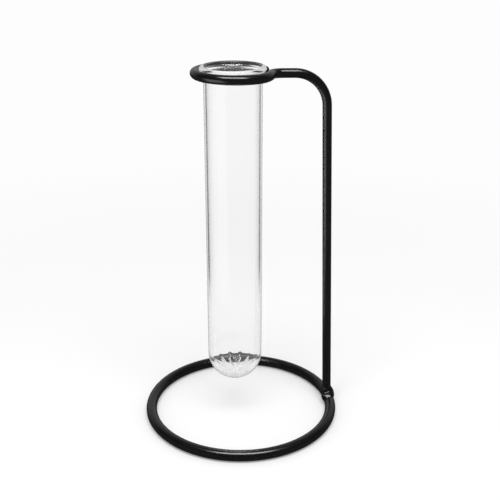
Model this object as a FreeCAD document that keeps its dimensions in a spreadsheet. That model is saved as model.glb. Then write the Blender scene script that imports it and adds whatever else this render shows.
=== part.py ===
import FreeCAD, Part
import math
import os

import Sketcher

# A single flower vase: a glass test tube with a rolled lip hangs in an open ring of black wire.
# One wire makes the post, the gooseneck bend, the short arm, the elbow and the holding ring.
# A second wire, bent into a closed ring, is the base, and the post's foot is welded on top of it.
# Frame: origin on the table at the centre of the base ring, +X to the post, +Z up, millimetres.

SIZES = {
    # base ring
    "base_wire_diameter": 5.0,
    "base_ring_radius": 43.2,
    # stem wire, from the foot to the cut end of the holding ring
    "stem_wire_diameter": 4.1,
    "post_inset": 0.5,
    "post_lean": 1.8,
    "bend_radius": 14.8,
    "arm_length": 5.6,
    "arm_rise": 1.2,
    "elbow_radius": 5.6,
    "free_end_angle": 22.0,
    # weld round the post's foot
    "weld_length": 11.0,
    "weld_rise": 2.8,
    "weld_skirt": 3.0,
    "weld_proud": 0.6,
    # glass tube
    "tube_diameter": 25.0,
    "tube_wall": 1.2,
    "tube_length": 146.7,
    "bottom_thickness": 1.6,
    "nub_diameter": 6.2,
    "nub_drop": 1.2,
    "mouth_flare": 0.55,
    "flare_depth": 2.4,
    # how the tube sits in the holding ring and over the table
    "hold_clearance": 1.45,
    "lip_bearing": 0.3,
    "seat_gap": 0.15,
    "floor_gap": 17.6,
}

doc = FreeCAD.newDocument("test_tube_vase")
sheet = doc.addObject("Spreadsheet::Sheet", "Sizes")
for row, (name, value) in enumerate(SIZES.items(), start=1):
    sheet.set("A%d" % row, name)
    sheet.set("B%d" % row, str(value))
    sheet.setAlias("B%d" % row, name)
doc.recompute()


def half(expression):
    return "(%s) / 2" % expression


def value_of(expression):
    """The number that an expression on the sheet comes to."""
    return float(sheet.evalExpression(expression))


# Sizes that follow from the sheet, as expressions: the same text binds objects and gives numbers.
BASE_WIRE_RADIUS = half("Sizes.base_wire_diameter")
STEM_WIRE_RADIUS = half("Sizes.stem_wire_diameter")
TUBE_RADIUS = half("Sizes.tube_diameter")
TUBE_INNER_RADIUS = "(%s - Sizes.tube_wall)" % TUBE_RADIUS
MOUTH_RADIUS = "(%s + Sizes.mouth_flare)" % TUBE_INNER_RADIUS
HOLD_RADIUS = "(%s + Sizes.hold_clearance + %s)" % (TUBE_RADIUS, STEM_WIRE_RADIUS)
LIP_RADIUS = "(%s + Sizes.hold_clearance + Sizes.lip_bearing)" % TUBE_RADIUS
BEAD_RADIUS = "((%s - %s) / 2)" % (LIP_RADIUS, MOUTH_RADIUS)
BEAD_CENTRE_RADIUS = "((%s + %s) / 2)" % (LIP_RADIUS, MOUTH_RADIUS)
# The rolled lip and the wire are two round sections, one beside and above the other.
SEAT_REACH = "(%s + %s + Sizes.seat_gap)" % (BEAD_RADIUS, STEM_WIRE_RADIUS)
SEAT_OFFSET = "(%s - %s)" % (HOLD_RADIUS, BEAD_CENTRE_RADIUS)
SEAT_HEIGHT = "sqrt(%s * %s - %s * %s)" % (SEAT_REACH, SEAT_REACH, SEAT_OFFSET, SEAT_OFFSET)
# Heights in the tube's own frame, from the lowest point of its nub.
BEAD_HEIGHT = "(Sizes.nub_drop + Sizes.tube_length - %s)" % BEAD_RADIUS
ROUND_CENTRE_HEIGHT = "(Sizes.nub_drop + %s)" % TUBE_RADIUS
CAVITY_FLOOR_HEIGHT = "(Sizes.nub_drop + Sizes.bottom_thickness)"
# The arm and the holding ring rise a little towards the tube, so the lip rests on the far side.
HOLD_RISE = "(%s * sin(Sizes.arm_rise * 1deg))" % HOLD_RADIUS
HOLD_HEIGHT = "(Sizes.floor_gap + %s - %s - %s)" % (BEAD_HEIGHT, SEAT_HEIGHT, HOLD_RISE)
# The post's foot stands a little inside the middle of the base ring's wire.
FOOT_REACH = "(Sizes.base_ring_radius - Sizes.post_inset)"
# The elbow's circle touches the arm's line and the holding ring's circle.
ELBOW_REACH = "sqrt(%s * %s + 2 * %s * Sizes.elbow_radius)" % (HOLD_RADIUS, HOLD_RADIUS, HOLD_RADIUS)


def base_ring():
    """The base: one wire bent into a closed ring that lies on the table."""
    ring = doc.addObject("Part::Torus", "BaseRing")
    ring.setExpression("Radius1", "Sizes.base_ring_radius")
    ring.setExpression("Radius2", BASE_WIRE_RADIUS)
    ring.setExpression("Placement.Base.z", BASE_WIRE_RADIUS)
    ring.Label = "base_ring"
    return ring


def stem_route():
    """The stem wire's centre line, and the place of the tube's axis that it leads to."""
    lean = math.radians(value_of("Sizes.post_lean"))
    rise = math.radians(value_of("Sizes.arm_rise"))
    bend = value_of("Sizes.bend_radius")
    elbow = value_of("Sizes.elbow_radius")
    hold = value_of(HOLD_RADIUS)
    height = value_of(HOLD_HEIGHT)
    to_hold = value_of("Sizes.arm_length") + value_of(ELBOW_REACH)
    up_post = FreeCAD.Vector(-math.sin(lean), 0, math.cos(lean))
    along_arm = FreeCAD.Vector(-math.cos(rise), 0, math.sin(rise))
    square_to_arm = FreeCAD.Vector(math.sin(rise), 0, math.cos(rise))
    foot = FreeCAD.Vector(value_of(FOOT_REACH), 0, value_of(BASE_WIRE_RADIUS))
    bend_centre_height = height - (along_arm * to_hold + square_to_arm * bend).z
    bend_start_height = bend_centre_height + bend * math.sin(lean)
    bend_start = foot + up_post * ((bend_start_height - foot.z) / math.cos(lean))
    bend_centre = bend_start + FreeCAD.Vector(-math.cos(lean), 0, -math.sin(lean)) * bend
    half_turn = (math.pi / 2 + lean - rise) / 2
    bend_middle = bend_centre + FreeCAD.Vector(math.cos(half_turn), 0, math.sin(half_turn)) * bend
    bend_end = bend_centre + square_to_arm * bend
    arm_end = bend_end + along_arm * value_of("Sizes.arm_length")
    hold_centre = bend_end + along_arm * to_hold
    elbow_centre = arm_end - FreeCAD.Vector(0, elbow, 0)
    joining_angle = -math.asin(elbow / (hold + elbow))
    elbow_turn = math.pi / 2 + joining_angle
    free_end_angle = math.radians(value_of("Sizes.free_end_angle")) - 2 * math.pi

    def on_circle(centre, radius, angle):
        """A point in the arm's own rising plane, its angle from the post's side."""
        across = FreeCAD.Vector(0, 1, 0) * math.sin(angle) - along_arm * math.cos(angle)
        return centre + across * radius

    elbow_middle = on_circle(elbow_centre, elbow, math.pi / 2 + elbow_turn / 2)
    elbow_end = on_circle(hold_centre, hold, joining_angle)
    hold_middle = on_circle(hold_centre, hold, (joining_angle + free_end_angle) / 2)
    hold_end = on_circle(hold_centre, hold, free_end_angle)
    edges = [
        Part.LineSegment(foot, bend_start).toShape(),
        Part.Arc(bend_start, bend_middle, bend_end).toShape(),
        Part.LineSegment(bend_end, arm_end).toShape(),
        Part.Arc(arm_end, elbow_middle, elbow_end).toShape(),
        Part.Arc(elbow_end, hold_middle, hold_end).toShape(),
    ]
    return Part.Wire(edges), hold_centre


def stem_wire(ring, route_shape):
    """Post, gooseneck, arm, elbow and open holding ring: one wire, coped to sit on the base ring."""
    route = doc.addObject("Part::Feature", "StemRoute")
    route.Shape = route_shape
    section = doc.addObject("Part::Circle", "StemSection")
    to_the_tube = FreeCAD.Rotation(FreeCAD.Vector(0, -1, 0), value_of("Sizes.post_lean"))
    section.Placement = FreeCAD.Placement(FreeCAD.Vector(), to_the_tube)
    section.setExpression("Radius", STEM_WIRE_RADIUS)
    section.setExpression("Placement.Base.x", FOOT_REACH)
    section.setExpression("Placement.Base.z", BASE_WIRE_RADIUS)
    section.setExpression("Placement.Rotation.Angle", "Sizes.post_lean")
    sweep = doc.addObject("Part::Sweep", "StemSweep")
    sweep.Sections = [section]
    sweep.Spine = (route, ["Edge%d" % (number + 1) for number in range(len(route_shape.Edges))])
    sweep.Solid = True
    sweep.Frenet = False
    stem = doc.addObject("Part::Cut", "StemWire")
    stem.Base = sweep
    stem.Tool = ring
    stem.Label = "stem_wire"
    return stem


def foot_weld(ring, stem):
    """The weld bead: a low saddle round the post's foot, longest along the base ring's wire."""
    bead = doc.addObject("Part::Ellipsoid", "WeldBead")
    bead.Angle1 = -90
    bead.Angle2 = 90
    bead.Angle3 = 360
    bead.setExpression("Radius1", half("Sizes.weld_rise + Sizes.weld_skirt"))
    bead.setExpression("Radius2", "%s + Sizes.weld_proud" % BASE_WIRE_RADIUS)
    bead.setExpression("Radius3", half("Sizes.weld_length"))
    bead.setExpression("Placement.Base.x", "Sizes.base_ring_radius - Sizes.weld_proud")
    bead.setExpression(
        "Placement.Base.z",
        "Sizes.base_wire_diameter + %s" % half("Sizes.weld_rise - Sizes.weld_skirt"),
    )
    above = doc.addObject("Part::Cut", "WeldAboveRing")
    above.Base = bead
    above.Tool = ring
    weld = doc.addObject("Part::Cut", "FootWeld")
    weld.Base = above
    weld.Tool = stem
    weld.Label = "foot_weld"
    return weld


def origin_plane(body, role):
    for feature in body.Origin.OriginFeatures:
        if feature.Role == role:
            return feature
    raise RuntimeError("no plane " + role)


def fix_point(sketch, geometry, end, across=None, up=None):
    """Hold one end or centre of a sketch curve at bound distances across and up from the origin."""
    origin_geometry, origin_end = -1, 1
    for kind, expression in (("DistanceX", across), ("DistanceY", up)):
        if expression is None:
            continue
        distance = value_of(expression)
        constraint = sketch.addConstraint(
            Sketcher.Constraint(kind, origin_geometry, origin_end, geometry, end, distance)
        )
        sketch.setExpression("Constraints[%d]" % constraint, expression)


def glass_tube(axis):
    """The test tube: straight wall, thick round bottom with a drawn nub, flared mouth, rolled lip."""
    start, end, centre = 1, 2, 3
    outer = value_of(TUBE_RADIUS)
    inner = value_of(TUBE_INNER_RADIUS)
    round_centre = value_of(ROUND_CENTRE_HEIGHT)
    cavity_floor = value_of(CAVITY_FLOOR_HEIGHT)
    bead = value_of(BEAD_RADIUS)
    bead_centre = value_of(BEAD_CENTRE_RADIUS)
    bead_height = value_of(BEAD_HEIGHT)
    mouth = value_of(MOUTH_RADIUS)
    # The nub is a small ball cap; it meets the round bottom at its own radius from the axis.
    nub_radius = half("Sizes.nub_diameter")
    nub_top = "(%s - sqrt(%s * %s - %s * %s))" % (
        ROUND_CENTRE_HEIGHT, TUBE_RADIUS, TUBE_RADIUS, nub_radius, nub_radius)
    nub_ball = "((%s * %s + %s * %s) / (2 * %s))" % (nub_radius, nub_radius, nub_top, nub_top, nub_top)
    # Where the straight outer wall runs into the lip's round section.
    lip_foot = "(%s - sqrt((%s - %s) * (%s - %s)))" % (
        BEAD_HEIGHT, LIP_RADIUS, TUBE_RADIUS, TUBE_RADIUS, MOUTH_RADIUS)
    flare_foot = "(%s - Sizes.flare_depth)" % BEAD_HEIGHT
    cavity_centre = "(%s + %s)" % (CAVITY_FLOOR_HEIGHT, TUBE_INNER_RADIUS)

    body = doc.addObject("PartDesign::Body", "GlassTube")
    body.Label = "glass_tube"
    sketch = body.newObject("Sketcher::SketchObject", "TubeProfile")
    sketch.AttachmentSupport = [(origin_plane(body, "XZ_Plane"), "")]
    sketch.MapMode = "FlatFace"

    def point(across, up):
        return FreeCAD.Vector(across, up, 0)

    def arc(around, radius, first, last):
        circle = Part.Circle(around, FreeCAD.Vector(0, 0, 1), radius)
        return sketch.addGeometry(Part.ArcOfCircle(circle, first, last), False)

    def line(first, last):
        return sketch.addGeometry(Part.LineSegment(first, last), False)

    ball = value_of(nub_ball)
    nub_angle = math.asin(value_of(nub_radius) / ball) - math.pi / 2
    round_angle = math.asin(value_of(nub_radius) / outer) - math.pi / 2
    lip_foot_angle = math.atan2(value_of(lip_foot) - bead_height, outer - bead_centre)
    nub_arc = arc(point(0, ball), ball, -math.pi / 2, nub_angle)
    round_arc = arc(point(0, round_centre), outer, round_angle, 0)
    outer_wall = line(point(outer, round_centre), point(outer, value_of(lip_foot)))
    lip_arc = arc(point(bead_centre, bead_height), bead, lip_foot_angle, math.pi)
    flare = line(point(mouth, bead_height), point(inner, value_of(flare_foot)))
    inner_wall = line(point(inner, value_of(flare_foot)), point(inner, value_of(cavity_centre)))
    cavity_arc = arc(point(0, value_of(cavity_centre)), inner, -math.pi / 2, 0)
    axis_line = line(point(0, cavity_floor), point(0, 0))

    joints = [
        (nub_arc, end, round_arc, start),
        (round_arc, end, outer_wall, start),
        (outer_wall, end, lip_arc, start),
        (lip_arc, end, flare, start),
        (flare, end, inner_wall, start),
        (inner_wall, end, cavity_arc, end),
        (cavity_arc, start, axis_line, start),
        (axis_line, end, nub_arc, start),
    ]
    for first, first_end, second, second_end in joints:
        sketch.addConstraint(Sketcher.Constraint("Coincident", first, first_end, second, second_end))
    on_axis = [
        (nub_arc, centre),
        (nub_arc, start),
        (round_arc, centre),
        (cavity_arc, centre),
        (cavity_arc, start),
    ]
    horizontal_axis, vertical_axis = -1, -2
    for geometry, place in on_axis:
        sketch.addConstraint(Sketcher.Constraint("PointOnObject", geometry, place, vertical_axis))
    sketch.addConstraint(Sketcher.Constraint("PointOnObject", nub_arc, start, horizontal_axis))
    fix_point(sketch, nub_arc, end, across=nub_radius)
    fix_point(sketch, round_arc, centre, up=ROUND_CENTRE_HEIGHT)
    fix_point(sketch, round_arc, end, TUBE_RADIUS, ROUND_CENTRE_HEIGHT)
    fix_point(sketch, lip_arc, centre, BEAD_CENTRE_RADIUS, BEAD_HEIGHT)
    fix_point(sketch, lip_arc, end, MOUTH_RADIUS, BEAD_HEIGHT)
    fix_point(sketch, lip_arc, start, across=TUBE_RADIUS)
    fix_point(sketch, flare, end, TUBE_INNER_RADIUS, flare_foot)
    fix_point(sketch, cavity_arc, centre, up=cavity_centre)
    fix_point(sketch, cavity_arc, end, TUBE_INNER_RADIUS, cavity_centre)

    turn = body.newObject("PartDesign::Revolution", "TubeTurn")
    turn.Profile = sketch
    turn.ReferenceAxis = (sketch, ["V_Axis"])
    turn.Angle = 360
    body.Placement = FreeCAD.Placement(FreeCAD.Vector(axis.x, axis.y, 0), FreeCAD.Rotation())
    body.setExpression("Placement.Base.z", "Sizes.floor_gap")
    return body


route_shape, tube_axis = stem_route()
ring = base_ring()
stem = stem_wire(ring, route_shape)
weld = foot_weld(ring, stem)
tube = glass_tube(tube_axis)
doc.recompute()

for thing in doc.Objects:
    if "Invalid" in thing.State or "Error" in thing.State:
        raise RuntimeError("%s failed: %s" % (thing.Name, thing.State))

os.makedirs("parts", exist_ok=True)
for node in (ring, stem, weld, tube):
    shape = node.Shape
    if shape.isNull() or not shape.isValid() or not shape.Solids:
        raise RuntimeError("%s has no valid solid" % node.Label)
    shape.exportStep("parts/%s.step" % node.Label)
    box = shape.optimalBoundingBox(True, False)
    print("%-12s solids %d volume %.1f x %.2f..%.2f y %.2f..%.2f z %.2f..%.2f" % (
        node.Label, len(shape.Solids), shape.Volume,
        box.XMin, box.XMax, box.YMin, box.YMax, box.ZMin, box.ZMax))
print("tube axis x %.3f, holding ring at z %.3f, radius %.3f" % (
    tube_axis.x, value_of(HOLD_HEIGHT), value_of(HOLD_RADIUS)))
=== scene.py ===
import bpy
import math
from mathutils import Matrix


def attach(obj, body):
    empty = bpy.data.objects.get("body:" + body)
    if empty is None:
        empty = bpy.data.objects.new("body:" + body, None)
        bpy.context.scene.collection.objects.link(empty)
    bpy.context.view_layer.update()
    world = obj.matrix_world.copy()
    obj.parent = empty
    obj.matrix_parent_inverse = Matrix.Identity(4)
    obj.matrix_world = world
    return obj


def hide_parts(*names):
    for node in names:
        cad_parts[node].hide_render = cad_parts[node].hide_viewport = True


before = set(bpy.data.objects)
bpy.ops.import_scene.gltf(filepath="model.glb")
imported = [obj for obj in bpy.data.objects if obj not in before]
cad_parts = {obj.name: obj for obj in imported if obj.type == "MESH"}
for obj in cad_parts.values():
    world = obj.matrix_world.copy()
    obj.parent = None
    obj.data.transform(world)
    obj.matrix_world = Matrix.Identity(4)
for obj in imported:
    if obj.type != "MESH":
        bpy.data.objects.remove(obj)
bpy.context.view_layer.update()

# Base ring: one mild-steel wire, 5 mm thick, rolled into a closed ring and butt-welded.
# It lies on the table and carries the whole stand. Black semi-matt powder coat all over.
BASE_WIRE_RADIUS = 0.0025
BASE_RING_RADIUS = 0.0432
WIRE_SIDES = 40
BASE_RING_STEPS = 220
MERGE_DISTANCE = 0.00001


def start_piece():
    """Leave edit mode and let go of everything, so that an operator works on the new piece alone."""
    if bpy.context.object and bpy.context.object.mode != "OBJECT":
        bpy.ops.object.mode_set(mode="OBJECT")
    bpy.ops.object.select_all(action="DESELECT")


def close_piece(name):
    """Weld the doubles, turn the faces outwards, move the place into the mesh and shade it smooth."""
    piece = bpy.context.object
    bpy.ops.object.mode_set(mode="EDIT")
    bpy.ops.mesh.select_all(action="SELECT")
    bpy.ops.mesh.remove_doubles(threshold=MERGE_DISTANCE)
    bpy.ops.mesh.normals_make_consistent(inside=False)
    bpy.ops.object.mode_set(mode="OBJECT")
    bpy.ops.object.transform_apply(location=True, rotation=True, scale=True)
    bpy.ops.object.shade_smooth()
    piece.name = name
    piece.data.name = name
    return piece


start_piece()
bpy.ops.mesh.primitive_circle_add(
    vertices=WIRE_SIDES,
    radius=BASE_WIRE_RADIUS,
    location=(BASE_RING_RADIUS, 0, BASE_WIRE_RADIUS),
    rotation=(math.pi / 2, 0, 0),
)
bpy.ops.object.mode_set(mode="EDIT")
bpy.ops.mesh.select_all(action="SELECT")
bpy.ops.mesh.spin(steps=BASE_RING_STEPS, angle=2 * math.pi, center=(0, 0, 0), axis=(0, 0, 1))
base_ring = close_piece("base_ring_wire")


def linear(hex_colour):
    """The linear colour that a node needs for an sRGB hex value."""
    channels = []
    for start in (0, 2, 4):
        value = int(hex_colour[start:start + 2], 16) / 255
        channels.append(value / 12.92 if value <= 0.04045 else ((value + 0.055) / 1.055) ** 2.4)
    return (*channels, 1)


def add_node(tree, kind, settings=None, links=None):
    """Add a node, set its sockets and properties, and link sockets; a socket has a name or a number."""
    node = tree.nodes.new(kind)
    for name, value in (settings or {}).items():
        if isinstance(name, int) or name in node.inputs:
            node.inputs[name].default_value = value
        else:
            setattr(node, name, value)
    for name, source in (links or {}).items():
        tree.links.new(source, node.inputs[name])
    return node


# Polyester powder coat, sprayed and baked on steel wire, semi-matt: near black, with a soft wide
# highlight, a faint orange peel about 1.2 mm across and wider patches, a little paler and rougher.
PEEL_WIDTH = 0.0012
PEEL_HEIGHT = 0.000015
CLOUD_WIDTH = 0.009


def powder_coat_material():
    material = bpy.data.materials.new("semi_matt_black_powder_coat")
    material.use_nodes = True
    tree = material.node_tree
    tree.nodes.clear()
    place = add_node(tree, "ShaderNodeTexCoord")
    peel = add_node(
        tree, "ShaderNodeTexNoise",
        {"Scale": 1 / PEEL_WIDTH, "Detail": 3.0, "Roughness": 0.55},
        {"Vector": place.outputs["Object"]},
    )
    cloud = add_node(
        tree, "ShaderNodeTexNoise",
        {"Scale": 1 / CLOUD_WIDTH, "Detail": 4.0, "Roughness": 0.6},
        {"Vector": place.outputs["Object"]},
    )
    tone = add_node(
        tree, "ShaderNodeMix",
        {"data_type": "RGBA", 6: linear("0a0a0a"), 7: linear("121212")},
        {"Factor": cloud.outputs["Fac"]},
    )
    gloss = add_node(
        tree, "ShaderNodeMapRange",
        {"From Min": 0.3, "From Max": 0.7, "To Min": 0.2, "To Max": 0.27},
        {"Value": cloud.outputs["Fac"]},
    )
    bump = add_node(
        tree, "ShaderNodeBump",
        {"Strength": 0.1, "Distance": PEEL_HEIGHT},
        {"Height": peel.outputs["Fac"]},
    )
    surface = add_node(
        tree, "ShaderNodeBsdfPrincipled",
        {"IOR": 1.5, "Specular IOR Level": 1.0},
        {
            "Base Color": tone.outputs[2],
            "Roughness": gloss.outputs["Result"],
            "Normal": bump.outputs["Normal"],
        },
    )
    add_node(tree, "ShaderNodeOutputMaterial", links={"Surface": surface.outputs["BSDF"]})
    return material


powder_coat = powder_coat_material()


def coat(piece, material, node, body):
    """Give a piece its finish and slot, hide the solid that it stands for, and hang it on the body that
    it rides on.
    """
    piece.data.materials.clear()
    piece.data.materials.append(material)
    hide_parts(node)
    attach(piece, body)


coat(base_ring, powder_coat, "base_ring", "stand")

# Stem wire: one length of 4.1 mm wire, bent cold into post, gooseneck, arm, elbow and holding ring.
# Its foot stands in the weld on top of the base ring, and its other end is sheared off, left free
# beside the elbow and rounded by the coat.
STEM_WIRE_RADIUS = 0.00205
POST_FOOT_X = 0.0427
POST_LEAN = math.radians(1.8)
BEND_RADIUS = 0.0148
ARM_LENGTH = 0.0056
# The arm, the elbow and the holding ring lie in one plane that rises towards the tube.
ARM_RISE = math.radians(1.2)
ELBOW_RADIUS = 0.0056
HOLD_RADIUS = 0.016
HOLD_HEIGHT = 0.162275
FREE_END_ANGLE = math.radians(22.0)
TUBE_AXIS_X = -0.002792
BEND_STEPS = 40
ELBOW_STEPS = 20
HOLD_STEPS = 140
# The cut end's edge, rounded off in steps: how far on, and how much narrower.
CUT_END = ((0.00014, 0.96), (0.0001, 0.9), (0.00005, 0.8))

along_arm = (-math.cos(ARM_RISE), 0, math.sin(ARM_RISE))
square_to_arm = (math.sin(ARM_RISE), 0, math.cos(ARM_RISE))
elbow_reach = math.sqrt(HOLD_RADIUS * HOLD_RADIUS + 2 * HOLD_RADIUS * ELBOW_RADIUS)


def further(place, way, distance):
    """The place that lies a distance further along a way."""
    return tuple(start + step * distance for start, step in zip(place, way))


hold_centre = (TUBE_AXIS_X, 0, HOLD_HEIGHT)
arm_end = further(hold_centre, along_arm, -elbow_reach)
arm_start = further(arm_end, along_arm, -ARM_LENGTH)
bend_centre = further(arm_start, square_to_arm, -BEND_RADIUS)
elbow_centre = further(arm_end, (0, 1, 0), -ELBOW_RADIUS)
joining_angle = math.asin(ELBOW_RADIUS / (HOLD_RADIUS + ELBOW_RADIUS))
post_rise = bend_centre[2] + BEND_RADIUS * math.sin(POST_LEAN) - BASE_WIRE_RADIUS
post_run = post_rise * math.tan(POST_LEAN)

start_piece()
bpy.ops.mesh.primitive_circle_add(
    vertices=WIRE_SIDES,
    radius=STEM_WIRE_RADIUS,
    location=(POST_FOOT_X, 0, BASE_WIRE_RADIUS),
    rotation=(0, -POST_LEAN, 0),
)
bpy.ops.object.mode_set(mode="EDIT")
bpy.ops.mesh.select_all(action="SELECT")
bpy.ops.mesh.extrude_region_move(TRANSFORM_OT_translate={"value": (-post_run, 0, post_rise)})
bpy.ops.mesh.spin(
    steps=BEND_STEPS,
    angle=math.pi / 2 - POST_LEAN - ARM_RISE,
    center=bend_centre,
    axis=(0, 1, 0),
)
arm_run = further((0, 0, 0), along_arm, ARM_LENGTH)
bpy.ops.mesh.extrude_region_move(TRANSFORM_OT_translate={"value": arm_run})
bpy.ops.mesh.spin(
    steps=ELBOW_STEPS,
    angle=joining_angle - math.pi / 2,
    center=elbow_centre,
    axis=square_to_arm,
)
bpy.ops.mesh.spin(
    steps=HOLD_STEPS,
    angle=2 * math.pi - FREE_END_ANGLE - joining_angle,
    center=hold_centre,
    axis=square_to_arm,
)
end_place = further(hold_centre, along_arm, -HOLD_RADIUS * math.cos(FREE_END_ANGLE))
end_place = further(end_place, (0, 1, 0), HOLD_RADIUS * math.sin(FREE_END_ANGLE))
end_way = further((0, 0, 0), along_arm, -math.sin(FREE_END_ANGLE))
end_way = further(end_way, (0, 1, 0), -math.cos(FREE_END_ANGLE))
for length, share in CUT_END:
    end_place = further(end_place, end_way, length)
    step = further((0, 0, 0), end_way, length)
    bpy.ops.mesh.extrude_region_move(TRANSFORM_OT_translate={"value": step})
    bpy.ops.transform.resize(value=(share, share, share), center_override=end_place)
bpy.ops.mesh.edge_face_add()
bpy.ops.mesh.poke()
stem_wire = close_piece("stem_wire_bent")
coat(stem_wire, powder_coat, "stem_wire", "stand")

# Weld at the post's foot: a lumpy bead of filler metal laid by hand where the post stands on the
# base ring. It reaches furthest along the base wire, most of all to the front, and is coated too.
WELD_VOXEL = 0.00018
WELD_SMOOTHING = 40
# The weld is grown round two short stubs, a hair thinner than the wires that they follow.
STUB_SHRINK = 0.00006
RING_STUB_TURN = math.radians(30)
RING_STUB_STEPS = 24
POST_STUB_RISE = 0.008
LUMP_SUBDIVISIONS = 4
# Each lump: its place outwards and along the wire from the post, its height, and its three radii.
WELD_LUMPS = (
    (0.0006, -0.0002, 0.0042, 0.0030, 0.0050, 0.0027),
    (0.0017, 0.0004, 0.0038, 0.0020, 0.0040, 0.0034),
    (-0.0012, -0.0004, 0.0052, 0.0018, 0.0028, 0.0034),
    (0.0001, 0.0002, 0.0064, 0.0026, 0.0028, 0.0024),
    (-0.0012, -0.0027, 0.0038, 0.0020, 0.0029, 0.0024),
    (0.0004, -0.0030, 0.0042, 0.0022, 0.0026, 0.0019),
)

start_piece()
bpy.ops.mesh.primitive_circle_add(
    vertices=WIRE_SIDES,
    radius=BASE_WIRE_RADIUS - STUB_SHRINK,
    location=(BASE_RING_RADIUS, 0, BASE_WIRE_RADIUS),
    rotation=(math.pi / 2, 0, 0),
    fill_type="NGON",
)
ring_stub = bpy.context.object
bpy.ops.object.mode_set(mode="EDIT")
bpy.ops.mesh.select_all(action="SELECT")
bpy.ops.mesh.spin(steps=RING_STUB_STEPS, angle=RING_STUB_TURN, center=(0, 0, 0), axis=(0, 0, 1))
bpy.ops.mesh.select_all(action="SELECT")
bpy.ops.transform.rotate(
    value=-RING_STUB_TURN / 2,
    orient_axis="Z",
    center_override=(0, 0, 0),
)
bpy.ops.object.mode_set(mode="OBJECT")

start_piece()
bpy.ops.mesh.primitive_circle_add(
    vertices=WIRE_SIDES,
    radius=STEM_WIRE_RADIUS - STUB_SHRINK,
    location=(POST_FOOT_X, 0, BASE_WIRE_RADIUS),
    rotation=(0, -POST_LEAN, 0),
    fill_type="NGON",
)
post_stub = bpy.context.object
bpy.ops.object.mode_set(mode="EDIT")
bpy.ops.mesh.select_all(action="SELECT")
stub_run = (-POST_STUB_RISE * math.tan(POST_LEAN), 0, POST_STUB_RISE)
bpy.ops.mesh.extrude_region_move(TRANSFORM_OT_translate={"value": stub_run})
bpy.ops.object.mode_set(mode="OBJECT")

lumps = []
for out, along, height, *radii in WELD_LUMPS:
    start_piece()
    bpy.ops.mesh.primitive_ico_sphere_add(
        subdivisions=LUMP_SUBDIVISIONS,
        radius=1,
        location=(POST_FOOT_X + out, along, height),
        scale=radii,
    )
    lumps.append(bpy.context.object)

start_piece()
for part in (ring_stub, post_stub, *lumps):
    part.select_set(True)
bpy.context.view_layer.objects.active = ring_stub
bpy.ops.object.join()
bpy.ops.object.mode_set(mode="EDIT")
bpy.ops.mesh.select_all(action="SELECT")
bpy.ops.mesh.normals_make_consistent(inside=False)
bpy.ops.object.mode_set(mode="OBJECT")
bpy.ops.object.transform_apply(location=True, rotation=True, scale=True)
bpy.ops.object.modifier_add(type="REMESH")
ring_stub.modifiers["Remesh"].mode = "VOXEL"
ring_stub.modifiers["Remesh"].voxel_size = WELD_VOXEL
bpy.ops.object.modifier_apply(modifier="Remesh")
bpy.ops.object.modifier_add(type="SMOOTH")
ring_stub.modifiers["Smooth"].iterations = WELD_SMOOTHING
bpy.ops.object.modifier_apply(modifier="Smooth")
foot_weld = close_piece("foot_weld_bead")
coat(foot_weld, powder_coat, "foot_weld", "stand")

# Glass tube: a 25 mm laboratory test tube of borosilicate glass, its bottom blown round in a fluted
# mould and sealed off with a small button, its mouth flared into a lip in the flame.
# It isn't fixed: the lip rests on the holding ring, and the tube lifts out.
TABLE_GAP = 0.0176
TUBE_STEPS = 256
PROFILE_STEPS = 14
OUTER_RADIUS = 0.0125
INNER_RADIUS = 0.0113
ROUND_CENTRE = 0.0313
# The button under the bottom, and the fillet that runs from it into the round.
BUTTON_RADIUS = 0.0029
FILLET_RADIUS = 0.0037
FILLET_SHARE = 0.62
LIP_RADIUS = 0.01425
LIP_TOP = 0.1655
# Where the mouth's flare begins, on the outside and on the inside.
LIP_FOOT = 0.162
FLARE_FOOT = 0.1612
CAVITY_CENTRE = 0.0317
CAVITY_FLOOR = 0.0204
FLUTES = 11
FLUTE_START = 0.0016
FLUTE_TOP = 0.0048
FLUTE_DEPTH = 0.0006
# The crest between two flutes is where this share of a cosine's height is passed.
CREST_SHARE = 0.7
FLUTE_MIDDLE = math.radians(81.5)
FLUTE_POLISH = 6
POLISH_SHARE = 0.5
# A curve's handle for a quarter and for an eighth of a circle, as a share of the radius.
QUARTER = 4 / 3 * math.tan(math.pi / 8)
EIGHTH = 4 / 3 * math.tan(math.pi / 16)
HALF_RIGHT = math.sqrt(0.5)

# The profile from the button's middle, up the outside, over the lip and down the inside.
# Each point: its radius and height, the way the profile runs there in degrees, its two handles.
tube_profile = (
    (0, TABLE_GAP, 0, 0, 0.0013),
    (BUTTON_RADIUS, 0.01845, 52, 0.0007, 0.0004),
    (FILLET_RADIUS, 0.01942, 18, 0.0005, 0.0018),
    (
        OUTER_RADIUS * HALF_RIGHT,
        ROUND_CENTRE - OUTER_RADIUS * HALF_RIGHT,
        45,
        OUTER_RADIUS * EIGHTH * FILLET_SHARE,
        OUTER_RADIUS * EIGHTH,
    ),
    (OUTER_RADIUS, ROUND_CENTRE, 90, OUTER_RADIUS * EIGHTH, 0.002),
    (OUTER_RADIUS, LIP_FOOT, 90, 0.002, 0.0006),
    (0.0135, 0.16325, 50, 0.0006, 0.0004),
    (LIP_RADIUS, 0.1644, 90, 0.0006, 0.0006),
    (0.0132, LIP_TOP, 180, 0.0005, 0.0006),
    (0.01195, 0.165, 252, 0.0003, 0.0004),
    (0.0116, 0.1638, 256, 0.0005, 0.0005),
    (INNER_RADIUS, FLARE_FOOT, 270, 0.0009, 0.002),
    (INNER_RADIUS, CAVITY_CENTRE, 270, 0.002, INNER_RADIUS * QUARTER),
    (0, CAVITY_FLOOR, 180, INNER_RADIUS * QUARTER, 0),
)

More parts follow.
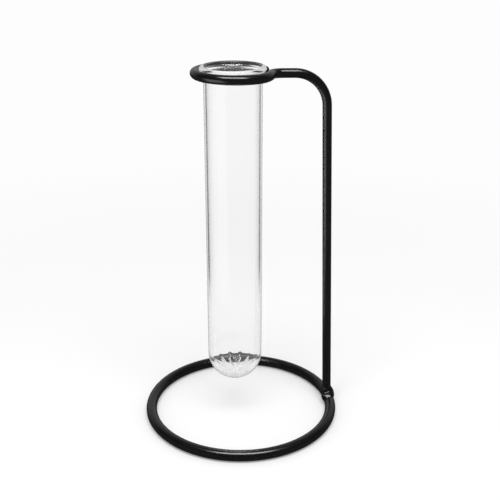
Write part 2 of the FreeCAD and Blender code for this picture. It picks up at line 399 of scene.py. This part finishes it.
start_piece()
bpy.ops.curve.primitive_bezier_curve_add(location=(TUBE_AXIS_X, 0, 0))
glass_tube = bpy.context.object
spline = glass_tube.data.splines[0]
spline.bezier_points.add(len(tube_profile) - len(spline.bezier_points))
for point, (radius, height, way, before, after) in zip(spline.bezier_points, tube_profile):
    run = (math.cos(math.radians(way)), math.sin(math.radians(way)))
    point.handle_left_type = point.handle_right_type = "FREE"
    point.co = (radius, 0, height)
    point.handle_left = (radius - run[0] * before, 0, height - run[1] * before)
    point.handle_right = (radius + run[0] * after, 0, height + run[1] * after)
glass_tube.data.resolution_u = PROFILE_STEPS
bpy.ops.object.convert(target="MESH")
bpy.ops.object.mode_set(mode="EDIT")
bpy.ops.mesh.select_all(action="SELECT")
bpy.ops.mesh.spin(
    steps=TUBE_STEPS,
    angle=2 * math.pi,
    center=(TUBE_AXIS_X, 0, 0),
    axis=(0, 0, 1),
)
glass_tube = close_piece("glass_tube_blown")


def pick_points(piece, wanted):
    """Select the points of a piece whose place is wanted, and go on in edit mode."""
    bpy.ops.object.mode_set(mode="EDIT")
    bpy.ops.mesh.select_mode(type="VERT")
    bpy.ops.mesh.select_all(action="DESELECT")
    bpy.ops.object.mode_set(mode="OBJECT")
    for vertex in piece.data.vertices:
        vertex.select = wanted(vertex.co)
    bpy.ops.object.mode_set(mode="EDIT")


def in_cavity_bottom(place):
    """The cavity's ball, up to the height that the flutes reach."""
    from_ball = math.dist(place, (TUBE_AXIS_X, 0, CAVITY_CENTRE))
    return from_ball < INNER_RADIUS + FLUTE_DEPTH and place[2] < CAVITY_FLOOR + FLUTE_TOP


def on_flute_crest(place):
    """The crests between the flutes, which end short of the middle, over the button."""
    around = math.atan2(place[1], place[0] - TUBE_AXIS_X)
    from_axis = math.dist(place[:2], (TUBE_AXIS_X, 0))
    crest = -math.cos(FLUTES * (around - FLUTE_MIDDLE))
    return in_cavity_bottom(place) and from_axis > FLUTE_START and crest > CREST_SHARE


# The mould's flutes: the crests between them stand up into the cavity, and are fire-polished soft.
pick_points(glass_tube, on_flute_crest)
bpy.ops.transform.shrink_fatten(value=FLUTE_DEPTH)
pick_points(glass_tube, in_cavity_bottom)
bpy.ops.mesh.vertices_smooth(factor=POLISH_SHARE, repeat=FLUTE_POLISH)
bpy.ops.object.mode_set(mode="OBJECT")


# Clear glass, blown and fire-polished: smooth and neutral, a little grey in a long path. The light
# of lamps and of the room shines through it onto the table, dimmed a little.
def tube_glass_material():
    material = bpy.data.materials.new("fire_polished_clear_glass")
    material.use_nodes = True
    tree = material.node_tree
    tree.nodes.clear()
    glass = add_node(
        tree, "ShaderNodeBsdfPrincipled",
        {
            "Base Color": linear("fefefe"),
            "Roughness": 0.0,
            "IOR": 1.47,
            "Specular IOR Level": 0.5,
            "Transmission Weight": 1.0,
        },
    )
    path = add_node(tree, "ShaderNodeLightPath")
    # Painted glow: to a ray that has run to and fro in the wall for a while, the glass mostly shows an
    # even room-white emission in place of what lies beyond, though no lamp is there.
    glow_share = add_node(
        tree, "ShaderNodeMapRange",
        {"From Min": 4.0, "From Max": 5.0, "To Max": 0.76},
        {"Value": path.outputs["Ray Depth"]},
    )
    # Painted glow: white emission in the glass, standing in for light that bounced around inside it.
    painted_glow = add_node(tree, "ShaderNodeEmission", {"Color": linear("fdfdfd"), "Strength": 0.87})
    clear = add_node(
        tree, "ShaderNodeMixShader",
        links={
            "Fac": glow_share.outputs["Result"],
            1: glass.outputs["BSDF"],
            2: painted_glow.outputs["Emission"],
        },
    )
    lights_table = add_node(
        tree, "ShaderNodeMath",
        {"operation": "MAXIMUM"},
        {0: path.outputs["Is Shadow Ray"], 1: path.outputs["Is Diffuse Ray"]},
    )
    lamp_light = add_node(tree, "ShaderNodeBsdfTransparent", {"Color": linear("f0f0f0")})
    shown = add_node(
        tree, "ShaderNodeMixShader",
        links={
            "Fac": lights_table.outputs["Value"],
            1: clear.outputs["Shader"],
            2: lamp_light.outputs["BSDF"],
        },
    )
    depth = add_node(
        tree, "ShaderNodeVolumeAbsorption",
        {"Color": linear("dbdbdb"), "Density": 18.0},
    )
    add_node(
        tree, "ShaderNodeOutputMaterial",
        links={"Surface": shown.outputs["Shader"], "Volume": depth.outputs["Volume"]},
    )
    return material


coat(glass_tube, tube_glass_material(), "glass_tube", "tube")

# Table: a flat sheet of matt white card. It keeps the shadows of the wires and of the hanging
# tube, and further out it runs into the white of the room behind.
TABLE_HALF = 6.0
HEADING = math.radians(8.5)
away = (math.sin(HEADING), math.cos(HEADING), 0)
# How far out the card starts to turn white, and where it is white.
CARD_END = 0.07
ROOM_START = 0.45
# The painted strip of glow in the wires' reflections, which no lamp lights: how far it is turned left
# from straight in front, how far to each side it glows fully, and where it ends.
STRIP_TURN = math.radians(56)
STRIP_CORE = math.radians(18)
STRIP_EDGE = math.radians(30)
# The card near the vase holds no painted strip and no painted dark, and far off it holds them fully.
NEAR_GROUND = 0.12
FAR_GROUND = 0.2
# How bright the rest of the card is painted in the wires' reflections: a dim glow in place of its
# white.
PAINTED_CARD_SHEEN = 0.06
# A ray that the tube's inner wall mirrors takes three steps in the glass: in, mirrored and out.
INNER_WALL_STEPS = 3.0
HALF_STEP = 0.5
strip_angle = -math.pi / 2 - HEADING - STRIP_TURN
strip_way = (math.cos(strip_angle), math.sin(strip_angle), 0)

start_piece()
bpy.ops.mesh.primitive_plane_add(size=2 * TABLE_HALF, location=(0, 0, 0))
table = bpy.context.object
table.name = "table"


# White card, uncoated: an even white with no gloss, on which soft shadows show.
def table_material():
    material = bpy.data.materials.new("matt_white_card")
    material.use_nodes = True
    tree = material.node_tree
    tree.nodes.clear()
    place = add_node(tree, "ShaderNodeTexCoord")
    path = add_node(tree, "ShaderNodeLightPath")
    reach = add_node(
        tree, "ShaderNodeVectorMath",
        {"operation": "LENGTH"},
        {"Vector": place.outputs["Object"]},
    )
    fade = add_node(
        tree, "ShaderNodeMapRange",
        {
            "interpolation_type": "SMOOTHSTEP",
            "From Min": CARD_END,
            "From Max": ROOM_START,
            "To Min": 0.2,
            "To Max": 1.0,
        },
        {"Value": reach.outputs["Value"]},
    )
    seen = add_node(
        tree, "ShaderNodeMath",
        {"operation": "MAXIMUM"},
        {0: path.outputs["Is Camera Ray"], 1: path.outputs["Is Transmission Ray"]},
    )
    white_share = add_node(
        tree, "ShaderNodeMath",
        {"operation": "MULTIPLY"},
        {0: seen.outputs["Value"], 1: fade.outputs["Result"]},
    )
    card = add_node(tree, "ShaderNodeBsdfDiffuse", {"Color": linear("fafafa")})
    white = add_node(tree, "ShaderNodeEmission", {"Color": linear("fdfdfd"), "Strength": 1.0})
    plain = add_node(
        tree, "ShaderNodeMixShader",
        links={
            "Fac": white_share.outputs["Value"],
            1: card.outputs["BSDF"],
            2: white.outputs["Emission"],
        },
    )
    # Painted reflection: to the wires' mirrored rays the card glows dimly, and glows bright in a strip
    # in front on the left, which paints the bright line down the post; no lamp stands there.
    from_post = add_node(
        tree, "ShaderNodeVectorMath",
        {"operation": "SUBTRACT", 1: (POST_FOOT_X, 0, 0)},
        {0: place.outputs["Object"]},
    )
    toward = add_node(
        tree, "ShaderNodeVectorMath",
        {"operation": "NORMALIZE"},
        {"Vector": from_post.outputs["Vector"]},
    )
    along_strip = add_node(
        tree, "ShaderNodeVectorMath",
        {"operation": "DOT_PRODUCT", 1: strip_way},
        {0: toward.outputs["Vector"]},
    )
    painted_strip_share = add_node(
        tree, "ShaderNodeMapRange",
        {
            "interpolation_type": "SMOOTHSTEP",
            "From Min": math.cos(STRIP_EDGE),
            "From Max": math.cos(STRIP_CORE),
            "To Max": 1.0 - PAINTED_CARD_SHEEN,
        },
        {"Value": along_strip.outputs["Value"]},
    )
    far_off = add_node(
        tree, "ShaderNodeMapRange",
        {"interpolation_type": "SMOOTHSTEP", "From Min": NEAR_GROUND, "From Max": FAR_GROUND},
        {"Value": reach.outputs["Value"]},
    )
    painted_strip_glow = add_node(
        tree, "ShaderNodeMath",
        {"operation": "MULTIPLY_ADD", 2: PAINTED_CARD_SHEEN},
        {0: painted_strip_share.outputs["Result"], 1: far_off.outputs["Result"]},
    )
    # Painted reflection: the card's glow as the wires mirror it, dim, with the bright strip.
    mirrored = add_node(
        tree, "ShaderNodeEmission",
        {"Color": linear("fdfdfd")},
        {"Strength": painted_strip_glow.outputs["Value"]},
    )
    # Painted shade: to a ray that the tube's inner wall has mirrored, the card shows a dark grey
    # emission at both sides, which paints the inner wall's thin dark lines.
    level_place = add_node(
        tree, "ShaderNodeVectorMath",
        {"operation": "NORMALIZE"},
        {"Vector": place.outputs["Object"]},
    )
    behind = add_node(
        tree, "ShaderNodeVectorMath",
        {"operation": "DOT_PRODUCT", 1: away},
        {0: level_place.outputs["Vector"]},
    )
    off_side = add_node(
        tree, "ShaderNodeMapRange",
        {
            "interpolation_type": "SMOOTHSTEP",
            "From Min": 0.7,
            "From Max": 0.93,
            "To Min": 1.0,
            "To Max": 0.0,
        },
        {"Value": behind.outputs["Value"]},
    )
    not_in_front = add_node(
        tree, "ShaderNodeMapRange",
        {
            "interpolation_type": "SMOOTHSTEP",
            "From Min": 0.0,
            "From Max": 0.5,
            "To Min": 0.1,
            "To Max": 1.0,
        },
        {"Value": behind.outputs["Value"]},
    )
    to_the_side = add_node(
        tree, "ShaderNodeMath",
        {"operation": "MULTIPLY"},
        {0: off_side.outputs["Result"], 1: not_in_front.outputs["Result"]},
    )
    painted_dark_zone = add_node(
        tree, "ShaderNodeMath",
        {"operation": "MULTIPLY"},
        {0: to_the_side.outputs["Value"], 1: far_off.outputs["Result"]},
    )
    third_step = add_node(
        tree, "ShaderNodeMath",
        {"operation": "COMPARE", 1: INNER_WALL_STEPS, 2: HALF_STEP},
        {0: path.outputs["Ray Depth"]},
    )
    by_inner_wall = add_node(
        tree, "ShaderNodeMath",
        {"operation": "MULTIPLY"},
        {0: third_step.outputs["Value"], 1: path.outputs["Is Transmission Ray"]},
    )
    painted_dark_share = add_node(
        tree, "ShaderNodeMath",
        {"operation": "MULTIPLY"},
        {0: painted_dark_zone.outputs["Value"], 1: by_inner_wall.outputs["Value"]},
    )
    # Painted shade: a dark grey emission on the card, seen only through the tube's inner wall.
    painted_dark = add_node(tree, "ShaderNodeEmission", {"Color": linear("303030"), "Strength": 1.0})
    direct = add_node(
        tree, "ShaderNodeMixShader",
        links={
            "Fac": painted_dark_share.outputs["Value"],
            1: plain.outputs["Shader"],
            2: painted_dark.outputs["Emission"],
        },
    )
    # A ray that comes through clear glass counts as a glossy one too, so it is taken off again.
    only_mirrored = add_node(
        tree, "ShaderNodeMath",
        {"operation": "SUBTRACT", "use_clamp": True},
        {0: path.outputs["Is Glossy Ray"], 1: path.outputs["Is Transmission Ray"]},
    )
    shown = add_node(
        tree, "ShaderNodeMixShader",
        links={
            "Fac": only_mirrored.outputs["Value"],
            1: direct.outputs["Shader"],
            2: mirrored.outputs["Emission"],
        },
    )
    add_node(tree, "ShaderNodeOutputMaterial", links={"Surface": shown.outputs["Shader"]})
    return material


table.data.materials.append(table_material())

# Light: one soft box over the vase and a little in front of it, which draws the highlight along the
# wires and drops the tube's shadow behind its end. The room is white, and dim in the wires' sheen.
SOFT_BOX_DISTANCE = 0.9
SOFT_BOX_ELEVATION = math.radians(70)
SOFT_BOX_WIDTH = 0.7
SOFT_BOX_DEPTH = 0.26
SOFT_BOX_ASIDE = 0.03
SOFT_BOX_POWER = 4.6
# How strongly the white room lights the vase, where 1 is the white that the eye sees.
ROOM_LIGHT = 0.61
ROOM_SEEN = 1.0

start_piece()
bpy.ops.object.light_add(
    type="AREA",
    location=(
        -SOFT_BOX_DISTANCE * math.cos(SOFT_BOX_ELEVATION) * away[0] + SOFT_BOX_ASIDE * away[1],
        -SOFT_BOX_DISTANCE * math.cos(SOFT_BOX_ELEVATION) * away[1] - SOFT_BOX_ASIDE * away[0],
        SOFT_BOX_DISTANCE * math.sin(SOFT_BOX_ELEVATION),
    ),
    rotation=(math.pi / 2 - SOFT_BOX_ELEVATION, 0, -HEADING),
)
soft_box = bpy.context.object
soft_box.name = "soft_box"
soft_box.data.shape = "RECTANGLE"
soft_box.data.size = SOFT_BOX_WIDTH
soft_box.data.size_y = SOFT_BOX_DEPTH
soft_box.data.energy = SOFT_BOX_POWER


def studio_world():
    world = bpy.data.worlds.new("white_studio")
    world.use_nodes = True
    tree = world.node_tree
    tree.nodes.clear()
    path = add_node(tree, "ShaderNodeLightPath")
    way = add_node(tree, "ShaderNodeTexCoord")
    facing = add_node(
        tree, "ShaderNodeVectorMath",
        {"operation": "DOT_PRODUCT", 1: away},
        {0: way.outputs["Generated"]},
    )
    in_mirrors = add_node(
        tree, "ShaderNodeMapRange",
        {"From Min": 0.3, "From Max": 0.95, "To Min": 0.02, "To Max": 0.4},
        {"Value": facing.outputs["Value"]},
    )
    level_way = add_node(
        tree, "ShaderNodeMapRange",
        {
            "interpolation_type": "SMOOTHSTEP",
            "From Min": 0.6,
            "From Max": 0.9,
            "To Min": 0.88,
            "To Max": 0.95,
        },
        {"Value": facing.outputs["Value"]},
    )
    height = add_node(tree, "ShaderNodeSeparateXYZ", links={"Vector": way.outputs["Generated"]})
    from_above = add_node(
        tree, "ShaderNodeMapRange",
        {"interpolation_type": "SMOOTHSTEP", "From Min": 0.1, "From Max": 0.6},
        {"Value": height.outputs["Z"]},
    )
    through_glass = add_node(
        tree, "ShaderNodeMath",
        {"operation": "MAXIMUM"},
        {0: level_way.outputs["Result"], 1: from_above.outputs["Result"]},
    )
    # The room's strength: as it lights the vase, as the wires mirror it, through the glass, and seen.
    mirrored = add_node(
        tree, "ShaderNodeMix",
        {2: ROOM_LIGHT},
        {"Factor": path.outputs["Is Glossy Ray"], 3: in_mirrors.outputs["Result"]},
    )
    through = add_node(
        tree, "ShaderNodeMix",
        links={
            "Factor": path.outputs["Is Transmission Ray"],
            2: mirrored.outputs["Result"],
            3: through_glass.outputs["Value"],
        },
    )
    seen = add_node(
        tree, "ShaderNodeMix",
        {3: ROOM_SEEN},
        {"Factor": path.outputs["Is Camera Ray"], 2: through.outputs["Result"]},
    )
    room = add_node(
        tree, "ShaderNodeBackground",
        {"Color": linear("ffffff")},
        {"Strength": seen.outputs["Result"]},
    )
    add_node(tree, "ShaderNodeOutputWorld", links={"Surface": room.outputs["Background"]})
    return world


bpy.context.scene.world = studio_world()

# Camera: in front and a little to the left, 36 cm off and 23 cm up, looking down at the vase.
# It is a short telephoto, as for a small thing on a table, and everything is sharp.
CAMERA_DISTANCE = 0.3604
CAMERA_HEIGHT = 0.22654
CAMERA_PITCH = math.radians(21.753)
CAMERA_YAW = math.radians(0.695)
CAMERA_LENS = 61.77
CAMERA_SENSOR = 36

start_piece()
bpy.ops.object.camera_add(
    location=(-CAMERA_DISTANCE * away[0], -CAMERA_DISTANCE * away[1], CAMERA_HEIGHT),
    rotation=(math.pi / 2 - CAMERA_PITCH, 0, -HEADING - CAMERA_YAW),
)
camera = bpy.context.object
camera.data.sensor_width = CAMERA_SENSOR
camera.data.lens = CAMERA_LENS
bpy.context.scene.camera = camera
bpy.context.scene.view_settings.view_transform = "Standard"
